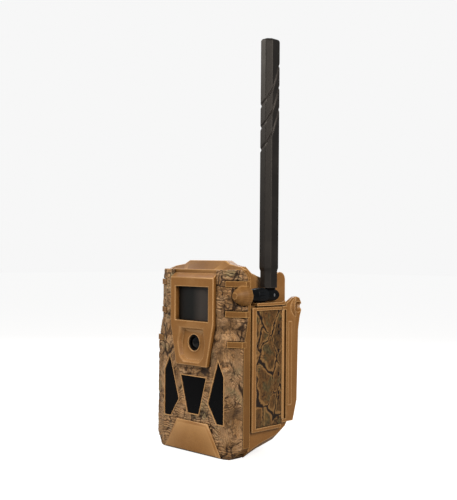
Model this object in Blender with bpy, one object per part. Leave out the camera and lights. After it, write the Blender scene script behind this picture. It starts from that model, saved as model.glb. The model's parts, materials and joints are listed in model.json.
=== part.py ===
"""Trail camera with a hinged front, a side latch and a folding antenna."""
import math

import bmesh
import bpy
from mathutils import Matrix, Vector

for leftover in list(bpy.data.objects):
    bpy.data.objects.remove(leftover, do_unlink=True)

# Sizes in millimetres. X runs to the camera's left hand side as it looks out, seen from the
# front as right; Y runs back from the bezel's face and Z up from the foot of the front.
MM = 0.001
GAP = 0.3              # air left between two pieces that touch
RUNNING = 0.15         # clearance of a shaft in its hole

HALF_WIDTH = 47.0      # half the width of the front
FRONT_HEIGHT = 141.0   # height of the bark cover
HOOD_TOP = 148.0       # highest point of the casing
SEAM = 17.0            # depth at which the front meets the rear housing
HOUSING_BACK = 66.0    # depth of the rear housing's back wall
TREE_FACE = HOUSING_BACK + 9.0   # depth of the face that lies on the tree
WALL = 2.4             # casing walls

COVER_FACE = 3.0       # the bark cover's front face, behind the bezel's face
COVER_WALL = 2.0
FLANGE_CUT = 1.6       # how far the cover's side runs back from the cheek's edge
UPPER_EDGE = (HALF_WIDTH - 16.0, 12.5)   # half width of the flat front and depth of the cheek's edge, upper half
LOWER_EDGE = (HALF_WIDTH - 13.0, 8.2)    # the same two for the lower half
TAPER_LOW = 83.0       # the cheeks change between these two heights
TAPER_HIGH = 103.0

BEZEL_HALF = 24.0
BEZEL_BASE = 67.0
BEZEL_BASE_HALF = 17.0
BROW = 134.8           # height of the bezel's upright band
PIR_HALF = 18.6
PIR_LOW = 101.3
PIR_HIGH = 127.8
LENS_Z = 84.4
LENS_R = 6.0
DISH_FLOOR = 3.6       # depth of the recess round the lens

HINGE_X = -HALF_WIDTH - 2.4      # the front's hinge
HINGE_Y = 17.3
HINGE_PIN_R = 1.0
HINGE_BARREL_R = 2.1

LATCH_FACE = HALF_WIDTH + 1.0    # outer face of the side latch
LATCH_THICK = 2.6
LATCH_FRONT = 18.6
LATCH_LOW = 19.3
LATCH_PIN_Y = HOUSING_BACK - 12.1
LATCH_PIN_R = 0.75
LATCH_BARREL_R = 1.3
LATCH_RIM = 4.0
PEG = (22.3, 26.7)      # depths and heights of the peg that locks the latch
PEG_Z = (61.0, 73.0)
PIN_EAR = 2.9          # height of the ears that hold the latch's pin

ANTENNA_X = HALF_WIDTH - 3.0
ANTENNA_Z = 122.0
BOSS_R = 8.0
CONNECTOR_R = 3.0

HOUSING_HALF = HALF_WIDTH - 2.0
NOTCH_X = ANTENNA_X - BOSS_R - 1.0   # the housing is cut back to here beside the antenna
NOTCH_Z = ANTENNA_Z - BOSS_R - GAP
LATCH_HIGH = NOTCH_Z - 0.8
BOSS_END = 15.1
KNUCKLE_R = 5.05
TILT_Y = 42.0
TILT_PIN_R = 1.2
TANG_HALF = 1.7
BLADE_HALF_X = 4.5
BLADE_FRONT = 34.0
BLADE_BACK = 46.0
BLADE_BEVEL = 3.8      # the broad bevel on its outer front edge
BLADE_START = 142.6
BLADE_TOP = 318.5

CELL_R = 7.1
CELL_LENGTH = 50.0
CELL_PITCH = 2 * CELL_R + 1.0
CELL_ROW_Y = 33.0
CELL_FOOT = 17.0
CELL_LEVEL = 54.0      # one level of cells to the next

EYE_X = HALF_WIDTH - 2.0         # the padlock eye in the wing
EYE_Y = TREE_FACE - 6.0
EYE_Z = 112.0
EYE_R = 4.1
EYE_LUG_R = 7.9
EYE_THICK = 4.6
EYE_TURN = -60.0       # degrees; the eye faces outwards and a little back

PLATE_MID = 84.0       # height of the middle of the tree plate
PLATE_HALF = 29.0
PLATE_Z = (PLATE_MID - 42.0, PLATE_MID + 36.0)
STRAP_SLOT_X = 19.0
STRAP_SLOT_HALF = (3.2, 17.0)
BRACKET_SCREWS = (PLATE_MID - 28.0, PLATE_MID + 24.0)

INSERT_R = 5.5         # the tripod socket in the foot
INSERT_Y = 33.0
SOCKET_R = 3.2

PANEL_FRONT = 14.6     # the panel behind the front, with the screen and the buttons
PANEL_BACK = 16.4
PANEL_HALF = ANTENNA_X - KNUCKLE_R - 0.95
SCREEN_HALF = 27.0
SCREEN = (74.0, 114.0)
BUTTON_MID = (-16.0, 44.0)
BUTTON_STEP = 9.0
BUTTON_R = 3.0
BUTTON_PLACES = {"ok": (0, 0), "up": (0, 1), "down": (0, -1), "left": (-1, 0), "right": (1, 0)}
SWITCH_PLACE = (24.0, 60.0)
SWITCH_TRAVEL = 6.0
KNOB_HEIGHT = 4.0
PANEL_SCREWS = ((-34.0, 10.0), (34.0, 10.0), (-26.0, 128.0), (26.0, 128.0))

# The roof falls away behind: depth, height of its top and height of the housing's floor.
ROOF = ((SEAM + GAP, HOOD_TOP, 0.4), (24.0, HOOD_TOP, 2.8), (31.0, 142.5, 5.0), (HOUSING_BACK - 16, 137.0, 9.4),
        (HOUSING_BACK - 7, 132.5, 14.5), (HOUSING_BACK - 2.5, 129.0, 21.0), (HOUSING_BACK, 124.0, 29.0))

BROWN = (0.30, 0.15, 0.05)
DARK = (0.02, 0.02, 0.022)

AXES = {"X": (1, 2, 0), "Y": (0, 2, 1), "Z": (0, 1, 2)}


def material(name, colour, roughness=0.6, metallic=0.0):
    made = bpy.data.materials.new(name)
    made.use_nodes = True
    shader = made.node_tree.nodes["Principled BSDF"]
    shader.inputs["Base Color"].default_value = (*colour, 1)
    shader.inputs["Roughness"].default_value = roughness
    shader.inputs["Metallic"].default_value = metallic
    return made


def empty(name, place, parent=None):
    """An empty at a place in millimetres of the camera's frame."""
    made = bpy.data.objects.new(name, None)
    bpy.context.collection.objects.link(made)
    if parent:
        made.parent = parent
        made.location = (Vector(place) - Vector(parent["place"])) * MM
    else:
        made.location = Vector(place) * MM
    made["place"] = place
    return made


def add(name, mesh_data, parent=None, finish=None, smooth=False):
    """Turn a bmesh in millimetres of the camera's frame into an object under its parent."""
    bmesh.ops.remove_doubles(mesh_data, verts=mesh_data.verts, dist=1e-4)
    bmesh.ops.recalc_face_normals(mesh_data, faces=mesh_data.faces)
    holder = parent or frame_origin
    shift = Matrix.Translation(-Vector(holder["place"]) * MM) @ Matrix.Scale(MM, 4)
    bmesh.ops.transform(mesh_data, matrix=shift, verts=mesh_data.verts)
    mesh = bpy.data.meshes.new(name)
    mesh_data.to_mesh(mesh)
    mesh_data.free()
    if smooth:
        mesh.shade_smooth()
        mesh.set_sharp_from_angle(angle=math.radians(35))
    made = bpy.data.objects.new(name, mesh)
    bpy.context.collection.objects.link(made)
    made.parent = holder
    if finish:
        mesh.materials.append(material(name, *finish))
    return made


def combine(target, other, operation):
    """Cut, join or keep what two shapes share; the second shape is only a guide."""
    other.hide_render = True
    other.display_type = "WIRE"
    step = target.modifiers.new(operation.lower(), "BOOLEAN")
    step.operation = operation
    step.object = other
    step.solver = "EXACT"


def cut(target, *others):
    for other in others:
        combine(target, other, "DIFFERENCE")


def join(target, *others):
    for other in others:
        combine(target, other, "UNION")


def keep(target, *others):
    for other in others:
        combine(target, other, "INTERSECT")


def prism(outline, axis, low, high):
    """An outline in the plane across an axis, extruded from one height to another."""
    first, second, along = AXES[axis]
    shape = bmesh.new()
    corners = []
    for a, b in outline:
        point = [0.0, 0.0, 0.0]
        point[first], point[second], point[along] = a, b, low
        corners.append(shape.verts.new(point))
    face = shape.faces.new(corners)
    made = bmesh.ops.extrude_face_region(shape, geom=[face])
    moved = [part for part in made["geom"] if isinstance(part, bmesh.types.BMVert)]
    lift = Vector((0, 0, 0))
    lift[along] = high - low
    bmesh.ops.translate(shape, vec=lift, verts=moved)
    return shape


def loft(rings):
    """A closed body through rings of points that all have the same count."""
    shape = bmesh.new()
    rows = [[shape.verts.new(point) for point in ring] for ring in rings]
    count = len(rows[0])
    for lower, upper in zip(rows, rows[1:]):
        for index in range(count):
            after = (index + 1) % count
            a, b, c, d = lower[index], lower[after], upper[after], upper[index]
            # A twisted face is split from its lower corner farthest from the middle,
            # so that faces which lie parallel are split the same way.
            if abs(a.co.x) >= abs(b.co.x):
                shape.faces.new((a, b, c))
                shape.faces.new((a, c, d))
            else:
                shape.faces.new((a, b, d))
                shape.faces.new((b, c, d))
    shape.faces.new(rows[0])
    shape.faces.new(rows[-1])
    return shape


def box(x, y, z):
    return prism([(x[0], y[0]), (x[1], y[0]), (x[1], y[1]), (x[0], y[1])], "Z", z[0], z[1])


def circle(centre, radius, sides, turn=0.0):
    """Corners of a regular outline round a centre."""
    step = 2 * math.pi / sides
    angles = [turn + step * index for index in range(sides)]
    return [(centre[0] + radius * math.cos(a), centre[1] + radius * math.sin(a)) for a in angles]


def rod(axis, centre, radius, low, high, sides=16):
    return prism(circle(centre, radius, sides, math.pi / sides), axis, low, high)


def turned(axis, centre, profile, sides=16):
    """A stack of round sections (radius, height) along an axis, closed at both ends."""
    first, second, along = AXES[axis]
    rings = []
    for radius, height in profile:
        ring = []
        for a, b in circle(centre, radius, sides):
            point = [0.0, 0.0, 0.0]
            point[first], point[second], point[along] = a, b, height
            ring.append(point)
        rings.append(ring)
    return loft(rings)


def mirrored(points):
    """The outline's right half and its mirror image, as one closed outline."""
    return points + [(-x, y) for x, y in reversed(points)]


def inset(outline, amount):
    """Move each edge of a closed outline inwards by an amount, or outwards if it is negative."""
    area = sum(a[0] * b[1] - b[0] * a[1] for a, b in zip(outline, outline[1:] + outline[:1]))
    side = 1 if area > 0 else -1
    moved = []
    count = len(outline)
    for index in range(count):
        before, here, after = (Vector(outline[(index + k) % count]) for k in (-1, 0, 1))
        inward = [Vector((-edge.y, edge.x)).normalized() * side for edge in (here - before, after - here)]
        bisector = inward[0] + inward[1]
        moved.append(tuple(here + bisector * (amount * 2 / bisector.length_squared)))
    return moved


frame_origin = empty("camera_frame", (0.0, 0.0, 0.0))
front_hinge = empty("front_hinge", (HINGE_X, HINGE_Y, 0.0), frame_origin)
latch_hinge = empty("latch_hinge", (LATCH_FACE - LATCH_BARREL_R, LATCH_PIN_Y, 0.0), frame_origin)
antenna_turn = empty("antenna_turn", (ANTENNA_X, BOSS_END, ANTENNA_Z), front_hinge)
antenna_tilt = empty("antenna_tilt", (ANTENNA_X, TILT_Y, ANTENNA_Z), antenna_turn)


def cheek_levels(low, high):
    """Heights and the cheek's two sizes at each, from the lower half to the upper half."""
    return ((low, LOWER_EDGE), (TAPER_LOW, LOWER_EDGE), (TAPER_HIGH, UPPER_EDGE), (high, UPPER_EDGE))


def cheek_rings(low, high, depth, flange=False, back=SEAM):
    """Sections of the front at a depth under its skin, with a full-width flange if asked."""
    rings = []
    for height, (flat, edge) in cheek_levels(low, high):
        slope = math.hypot(HALF_WIDTH - flat, edge - COVER_FACE)
        lead = depth * (slope - (HALF_WIDTH - flat)) / (edge - COVER_FACE)
        rise = depth * (slope - (edge - COVER_FACE)) / (HALF_WIDTH - flat)
        half = [(flat - lead, COVER_FACE + depth), (HALF_WIDTH - depth, edge + rise)]
        if flange:
            step = edge + FLANGE_CUT + GAP
            half += [(HALF_WIDTH - depth, step), (HALF_WIDTH, step)]
        half.append(((HALF_WIDTH if flange else HALF_WIDTH - depth), back))
        rings.append([(x, y, height) for x, y in mirrored(half)])
    return rings


FRONT_OUTLINE = [(HALF_WIDTH + 1, 10), (HALF_WIDTH + 1, 133.5), (HALF_WIDTH - 4, FRONT_HEIGHT),
                 (30, FRONT_HEIGHT + 12), (-30, FRONT_HEIGHT + 12), (-HALF_WIDTH + 4, FRONT_HEIGHT),
                 (-HALF_WIDTH - 1, 133.5), (-HALF_WIDTH - 1, 10), (-HALF_WIDTH + 9, 0), (HALF_WIDTH - 9, 0)]
BEZEL_OUTLINE = mirrored([(BEZEL_HALF, FRONT_HEIGHT), (BEZEL_HALF, 99), (BEZEL_BASE_HALF, BEZEL_BASE)])
SIDE_WINDOW = [(27.2, 72.4), (33.2, 61.1), (33.2, 25.2), (26.0, 25.2), (16.5, 39.4)]
MIDDLE_WINDOW = [(14.2, 58.3), (6.2, 29.8), (-6.2, 29.8), (-14.2, 58.3)]
WINDOWS = {"left": [(-x, z) for x, z in SIDE_WINDOW], "middle": MIDDLE_WINDOW, "right": SIDE_WINDOW}
CHIN_OUTLINE = mirrored([(17.2, 24), (31.5, 0.6)])
DISH_OUTLINE = mirrored([(12.5, 95.5), (14.8, 84), (12.8, 74), (8.5, 70)])
RIB_HEIGHTS = (130.5, 108.0, 85.6)
RIB_HALF = 2.2
SHELL_DEPTH = COVER_WALL + GAP
CAVITY_DEPTH = SHELL_DEPTH + WALL
HINGE_SPANS = ((14.0, 44.0), (98.0, 128.0))
ROOF_STEPS = (20.0, 26.0, HALF_WIDTH - 10.0, HALF_WIDTH - 4.0)


def hood_ring(depth, lift, spread):
    """A section of the stepped roof: its steps fade towards the brow."""
    top = HOOD_TOP - lift
    steps = [(ROOF_STEPS[0] * spread, top), (ROOF_STEPS[1] * spread, top - 3 * spread),
             (ROOF_STEPS[2] * spread, top - 4.6 * spread), (ROOF_STEPS[3] * spread, top - 7 * spread),
             (ROOF_STEPS[3] * spread, 126)]
    return [(x, depth, z) for x, z in mirrored(steps)]


def rib_bar(height, side, grow=0.0):
    """A bar that lies along the upper cheek, standing a little proud of the bark cover."""
    flat, edge = UPPER_EDGE
    if height < TAPER_HIGH:
        share = (height - TAPER_LOW) / (TAPER_HIGH - TAPER_LOW)
        flat = LOWER_EDGE[0] + (flat - LOWER_EDGE[0]) * share
        edge = LOWER_EDGE[1] + (edge - LOWER_EDGE[1]) * share
    proud = 0.8 + grow
    run = Vector((HALF_WIDTH - flat, edge - COVER_FACE)).normalized()
    out = Vector((run.y, -run.x))
    start = Vector((flat, COVER_FACE)) + run * (2.5 - grow)
    end = Vector((HALF_WIDTH, edge))
    outline = [start + out * proud, end + out * proud, end + run * 0.2 + Vector((0, FLANGE_CUT + 2)),
               end - out * 4 + Vector((-3, 0)), start - out * 4]
    half = RIB_HALF + grow
    return prism([(side * p.x, p.y) for p in outline], "Z", height - half, height + half)


def boss_profile(grow=0.0):
    """The blunt nose that holds the antenna's connector, as radii and depths."""
    return [(2.4 + grow, 2.8 - grow), (4.8 + grow, 5.4 - grow), (BOSS_R - 0.7 + grow, 10.4 - grow),
            (BOSS_R + grow, BOSS_END - 1.7), (BOSS_R + grow, BOSS_END - 0.6), (BOSS_R - 0.8, BOSS_END)]


def make_front_shell():
    shell = add("front_shell", loft(cheek_rings(0.0, FRONT_HEIGHT, SHELL_DEPTH, flange=True)),
                front_hinge, (BROWN, 0.55))
    keep(shell, add("front_outline", prism(FRONT_OUTLINE, "Y", -5, 30)))
    hood = add("hood_block", loft([hood_ring(COVER_FACE + SHELL_DEPTH, 10.5, 0.62),
                                   hood_ring(SEAM, 0, 1.0)]))
    join(shell, hood)
    for height in RIB_HEIGHTS:
        for side in (-1, 1):
            join(shell, add(f"rib_{side}_{height:.0f}", rib_bar(height, side)))
    join(shell, add("boss_block", turned("Y", (ANTENNA_X, ANTENNA_Z), boss_profile(), 24)))
    for index, (low, high) in enumerate(HINGE_SPANS):
        join(shell, add(f"hinge_barrel_{index}", rod("Z", (HINGE_X, HINGE_Y), HINGE_BARREL_R, low, high)),
             add(f"hinge_web_{index}", box((HINGE_X, 3 - HALF_WIDTH), (HINGE_Y - 1.6, SEAM - 0.1), (low, high))))
    cut(shell, add("front_cavity", loft(cheek_rings(WALL, FRONT_HEIGHT - WALL, CAVITY_DEPTH, back=SEAM + 8))))
    cut(shell, add("hood_cavity", loft([hood_ring(13.0, 7, 0.8), hood_ring(SEAM + 8, 1.5, 0.9)])))
    cut(shell, add("pir_opening", box((-PIR_HALF + 1.6, PIR_HALF - 1.6), (0, 9), (PIR_LOW + 1.6, PIR_HIGH - 1.6))))
    cut(shell, add("lens_opening", rod("Y", (0, LENS_Z), LENS_R + 1.6, 0, 10, 24)))
    for side, outline in WINDOWS.items():
        cut(shell, add(f"{side}_light_opening", prism(inset(outline, 1.6), "Y", 0, 10)))
    mouth = (ANTENNA_X, ANTENNA_Z)
    cut(shell, add("connector_bore", rod("Y", mouth, CONNECTOR_R + GAP, BOSS_END - 7.5, 30)))
    cut(shell, add("knuckle_bore", rod("Y", mouth, KNUCKLE_R + 2 * GAP, BOSS_END - 0.1, 30, 24)))
    cut(shell, add("hinge_bore", rod("Z", (HINGE_X, HINGE_Y), HINGE_PIN_R + RUNNING, 0, 150)))
    return shell


def make_bark_cover():
    side_end = {LOWER_EDGE: LOWER_EDGE[1] + FLANGE_CUT, UPPER_EDGE: UPPER_EDGE[1] + FLANGE_CUT}
    rings = []
    outer = cheek_rings(0.0, FRONT_HEIGHT, 0.0)
    inner = cheek_rings(0.0, FRONT_HEIGHT, COVER_WALL)
    for (height, edges), out, inside in zip(cheek_levels(0.0, FRONT_HEIGHT), outer, inner):
        half = [out[0], out[1], (HALF_WIDTH, side_end[edges], height),
                (HALF_WIDTH - COVER_WALL, side_end[edges], height), inside[1], inside[0]]
        whole = half[:3] + half[3:] + [(-x, y, z) for x, y, z in reversed(half[3:])]
        whole += [(-x, y, z) for x, y, z in reversed(half[:3])]
        rings.append(whole)
    cover = add("bark_cover", loft(rings), front_hinge, ((0.16, 0.11, 0.07), 0.85))
    keep(cover, add("cover_outline", prism(FRONT_OUTLINE, "Y", -5, 30)))
    cut(cover, add("bezel_opening", prism(inset(BEZEL_OUTLINE, -GAP), "Y", -2, 12)))
    cut(cover, add("bezel_opening_top", box((-BEZEL_HALF - GAP, BEZEL_HALF + GAP), (-2, 12), (130, 150))))
    for side, outline in WINDOWS.items():
        cut(cover, add(f"{side}_window_opening", prism(outline, "Y", -2, 12)))
    for height in RIB_HEIGHTS:
        for side in (-1, 1):
            cut(cover, add(f"rib_opening_{side}_{height:.0f}", rib_bar(height, side, GAP)))
    cut(cover, add("boss_opening", turned("Y", (ANTENNA_X, ANTENNA_Z), boss_profile(GAP), 24)))
    return cover


def make_bezel():
    back = COVER_FACE + COVER_WALL
    bezel = add("bezel", prism(BEZEL_OUTLINE, "Y", 0, back), front_hinge, (BROWN, 0.5))
    keep(bezel, add("bezel_side", prism([(-1, 60), (back + 1, 60), (back + 1, 139.2), (0, BROW), (-1, BROW)],
                                        "X", -40, 40)))
    cut(bezel, add("pir_hole", box((-PIR_HALF, PIR_HALF), (-2, 9), (PIR_LOW, PIR_HIGH))))
    dish = [[(x, -0.5, z) for x, z in inset(DISH_OUTLINE, -0.6)],
            [(x, DISH_FLOOR, z) for x, z in inset(DISH_OUTLINE, 1.2)]]
    cut(bezel, add("lens_dish", loft(dish)))
    cut(bezel, add("lens_hole", rod("Y", (0, LENS_Z), LENS_R + GAP, 0, 9, 24)))
    return bezel


def make_front_pieces():
    plate = prism(CHIN_OUTLINE, "Y", 0.6, COVER_FACE - GAP)
    chin = add("chin_plate", plate, front_hinge, (BROWN, 0.5))
    edge = chin.modifiers.new("edge", "BEVEL")
    edge.width = 1.2 * MM
    edge.segments = 1
    edge.limit_method = "ANGLE"
    half = PIR_HALF - GAP
    bow = 1.3
    radius = (half * half + bow * bow) / (2 * bow)
    swing = math.asin(half / radius)
    arc = []
    for index in range(13):
        angle = swing * (index / 6 - 1)
        arc.append((radius * math.sin(angle), 2.9 + radius * (1 - math.cos(angle))))
    lens = prism(arc + [(half, 4.9), (-half, 4.9)], "Z", PIR_LOW + GAP, PIR_HIGH - GAP)
    add("pir_lens", lens, front_hinge, (DARK, 0.35), smooth=True)
    add("pir_sensor", turned("Y", (0, (PIR_LOW + PIR_HIGH) / 2), [(4.1, 8.2), (4.1, 10.2), (4.6, 10.3), (4.6, 10.6)]),
        front_hinge, ((0.6, 0.6, 0.62), 0.3, 1.0), smooth=True)
    for side, outline in WINDOWS.items():
        add(f"ir_window_{side}", prism(inset(outline, GAP), "Y", 3.3, 5.0), front_hinge, (DARK, 0.1))
    board = add("led_board", box((-31, 31), (8.6, 9.8), (26, 62)), front_hinge, ((0.02, 0.10, 0.04), 0.5))
    places = [(x, z) for x in (-26, 26) for z in (30, 37, 44, 51, 58)]
    places += [(x, z) for x in (-4, 4) for z in (38, 46, 54)]
    for index, place in enumerate(places):
        join(board, add(f"led_{index}", rod("Y", place, 1.6, 7.8, 9.0, 8)))
    lens_profile = [(LENS_R, 3.9), (LENS_R, 4.9), (LENS_R, 7.6), (4.6, 7.7), (4.6, 8.6)]
    barrel = add("lens_barrel", turned("Y", (0, LENS_Z), lens_profile, 24), front_hinge, (DARK, 0.4), True)
    cut(barrel, add("barrel_mouth", rod("Y", (0, LENS_Z), 4.9, 0, 6.0, 24)))
    cut(barrel, add("barrel_bore", rod("Y", (0, LENS_Z), 3.0, 0, 12, 24)))
    add("camera_lens", turned("Y", (0, LENS_Z), [(1.6, 4.3), (3.2, 4.6), (4.5, 5.1), (4.5, 5.7)], 24),
        front_hinge, ((0.01, 0.01, 0.02), 0.05), smooth=True)
    add("image_sensor", box((-4, 4), (9.0, 10.5), (LENS_Z - 4, LENS_Z + 4)), front_hinge, ((0.05, 0.05, 0.05), 0.3))
    board = add("main_board", box((-34, 34), (10.9, 12.1), (8, 132)), front_hinge, ((0.01, 0.12, 0.04), 0.5))
    for index, (x, z) in enumerate(((-20, 30), (18, 92), (-16, 104))):
        join(board, add(f"chip_{index}", box((x - 6, x + 6), (11.5, 13.2), (z - 6, z + 6))))
    add("memory_card", box((2, 26), (12.4, 14.2), (14, 46)), front_hinge, ((0.02, 0.03, 0.08), 0.4))


def make_inner_panel():
    panel = add("inner_panel", box((-PANEL_HALF, PANEL_HALF), (PANEL_FRONT, PANEL_BACK), (4.5, 134)),
                front_hinge, (DARK, 0.6))
    cut(panel, add("screen_recess", box((-SCREEN_HALF, SCREEN_HALF), (PANEL_BACK - 1.2, 20), SCREEN)))
    glass = SCREEN_HALF - GAP
    add("display", box((-glass, glass), (PANEL_BACK - 0.9, PANEL_BACK - 0.1), (SCREEN[0] + GAP, SCREEN[1] - GAP)),
        front_hinge, ((0.01, 0.015, 0.02), 0.1))
    for name, (across, up) in BUTTON_PLACES.items():
        place = (BUTTON_MID[0] + across * BUTTON_STEP, BUTTON_MID[1] + up * BUTTON_STEP)
        cut(panel, add(f"hole_{name}", rod("Y", place, BUTTON_R + GAP, 10, 20)))
        key = [(BUTTON_R - 0.1, 14.9), (BUTTON_R, 15.2), (BUTTON_R, 17.6), (BUTTON_R - 0.5, 18.1)]
        add(f"button_{name}", turned("Y", place, key), front_hinge, ((0.1, 0.1, 0.1), 0.6), True)
    x, z = SWITCH_PLACE
    half = (KNOB_HEIGHT + SWITCH_TRAVEL) / 2
    knob_z = (z - half, z - half + KNOB_HEIGHT)
    cut(panel, add("switch_slot", box((x - 1.8, x + 1.8), (10, 20), (z - half - GAP, z + half + GAP))))
    knob = add("power_switch", box((x - 1.5, x + 1.5), (14.0, 18.2), knob_z), front_hinge, ((0.35, 0.05, 0.03), 0.5))
    join(knob, add("switch_shoe", box((x - 3, x + 3), (13.2, PANEL_FRONT - GAP), knob_z)))
    for index, place in enumerate(PANEL_SCREWS):
        cut(panel, add(f"screw_hole_{index}", rod("Y", place, 1.7, 10, 20)))
        screw = [(1.3, 12.6), (1.3, PANEL_BACK + 0.2), (2.7, PANEL_BACK + GAP), (2.7, 17.8), (2.0, 18.4)]
        add(f"panel_screw_{index + 1}", turned("Y", place, screw, 12), front_hinge,
            ((0.5, 0.5, 0.5), 0.35, 1.0), True)


def housing_ring(depth, top, bottom, trim=0.0, half=HOUSING_HALF):
    """A section of the rear housing, or of its hollow when it is trimmed by a wall."""
    top -= trim
    bottom += trim
    half -= trim
    right = NOTCH_X - trim
    ledge = NOTCH_Z - trim
    points = [(half - 5, bottom), (half, bottom + 5), (half, ledge - 1), (half - 1, ledge), (right, ledge),
              (right, top - 4.6), (ROOF_STEPS[1], top - 3), (ROOF_STEPS[0], top), (-ROOF_STEPS[0], top),
              (-ROOF_STEPS[1], top - 3), (-ROOF_STEPS[2] + trim, top - 4.6),
              (-half, top - 7), (-half, bottom + 5), (-half + 5, bottom)]
    return [(x, depth, z) for x, z in points]


def make_rear_housing():
    rings = [housing_ring(*level) for level in ROOF[:-1]]
    rings.append(housing_ring(*ROOF[-1], half=HOUSING_HALF - 4))
    housing = add("rear_housing", loft(rings), None, (BROWN, 0.55))
    hollow = [housing_ring(SEAM - 2, ROOF[0][1], ROOF[0][2], WALL)]
    hollow += [housing_ring(*level, trim=WALL) for level in ROOF[1:5]]
    hollow.append(housing_ring(HOUSING_BACK - WALL, 126.5, 24.0, trim=WALL, half=HOUSING_HALF - 3))
    cut(housing, add("housing_hollow", loft(hollow)))
    barrel = rod("Z", (HINGE_X, HINGE_Y), HINGE_BARREL_R, HINGE_SPANS[0][1] + GAP, HINGE_SPANS[1][0] - GAP)
    join(housing, add("housing_barrel", barrel),
         add("housing_web", box((HINGE_X, 2 - HOUSING_HALF), (SEAM + GAP + 0.1, SEAM + 2.3),
                                (HINGE_SPANS[0][1] + GAP, HINGE_SPANS[1][0] - GAP))))
    cut(housing, add("housing_bore", rod("Z", (HINGE_X, HINGE_Y), HINGE_PIN_R + RUNNING, 0, 150)))
    cut(housing, add("peg_pocket", box((HOUSING_HALF - 3.5, LATCH_FACE), (PEG[0] - 0.8, PEG[1] + 0.8),
                                       (PEG_Z[0] - 1, PEG_Z[1] + 1))))
    join(housing, add("tripod_boss", rod("Z", (0, INSERT_Y), INSERT_R + 3.5, 4.2, CELL_FOOT - 3.8, 20)))
    cut(housing, add("tripod_bore", rod("Z", (0, INSERT_Y), INSERT_R + GAP, 0, 12.0, 20)))
    add("hinge_pin", rod("Z", (HINGE_X, HINGE_Y), HINGE_PIN_R, HINGE_SPANS[0][0] + 1, HINGE_SPANS[1][1] - 1),
        None, ((0.6, 0.6, 0.6), 0.3, 1.0), True)
    return housing


def make_rear_pieces():
    insert = add("tripod_insert", rod("Z", (0, INSERT_Y), INSERT_R, 4.2, 11.6, 20), None,
                 ((0.7, 0.5, 0.2), 0.3, 1.0), True)
    cut(insert, add("insert_bore", rod("Z", (0, INSERT_Y), SOCKET_R, 0, 10.4, 16)))
    lip = [housing_ring(depth, ROOF[0][1], ROOF[1][2], WALL + GAP) for depth in (18.0, 20.4)]
    gasket = add("gasket", loft(lip), None, ((0.02, 0.02, 0.02), 0.8))
    inner = [housing_ring(depth, ROOF[0][1], ROOF[1][2], WALL + GAP + 2) for depth in (10.0, 30.0)]
    cut(gasket, add("gasket_middle", loft(inner)))
    wide = CELL_PITCH * 2 + 1.6
    middle = NOTCH_X - WALL - 2 * GAP - wide
    tall = CELL_LEVEL + CELL_LENGTH
    tray_depth = (CELL_ROW_Y - CELL_R - 2.9, CELL_ROW_Y + CELL_R + 3.5)
    tray_z = (CELL_FOOT - 3.4, CELL_FOOT + tall + 3.4)
    tray = add("battery_tray", box((middle - wide, middle + wide), tray_depth, tray_z), None,
               ((0.03, 0.03, 0.03), 0.6))
    cut(tray, add("tray_hollow", box((middle - wide + 1.2, middle + wide - 1.2), (SEAM, tray_depth[1] - 1.6),
                                     (CELL_FOOT - 2, CELL_FOOT + tall + 2))))
    for level in (0, 1):
        foot = CELL_FOOT + level * CELL_LEVEL
        for column in range(4):
            x = middle + (column - 1.5) * CELL_PITCH
            cell = [(CELL_R - 0.4, foot), (CELL_R, foot + 0.6), (CELL_R, foot + CELL_LENGTH - 1.6),
                    (CELL_R - 0.6, foot + CELL_LENGTH - 1.2), (2.7, foot + CELL_LENGTH - 1.1),
                    (2.7, foot + CELL_LENGTH)]
            add(f"battery_{level * 4 + column + 1}", turned("Z", (x, CELL_ROW_Y), cell), None,
                ((0.05, 0.05, 0.06), 0.3), True)
    for name, foot in (("contact_low", CELL_FOOT - 1.4), ("contact_middle", CELL_FOOT + CELL_LENGTH + 1.5),
                       ("contact_high", CELL_FOOT + tall + 0.6)):
        add(name, box((middle - wide + 2, middle + wide - 2), (27.0, 39.0), (foot, foot + 0.9)), None,
            ((0.7, 0.7, 0.7), 0.25, 1.0))


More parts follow.
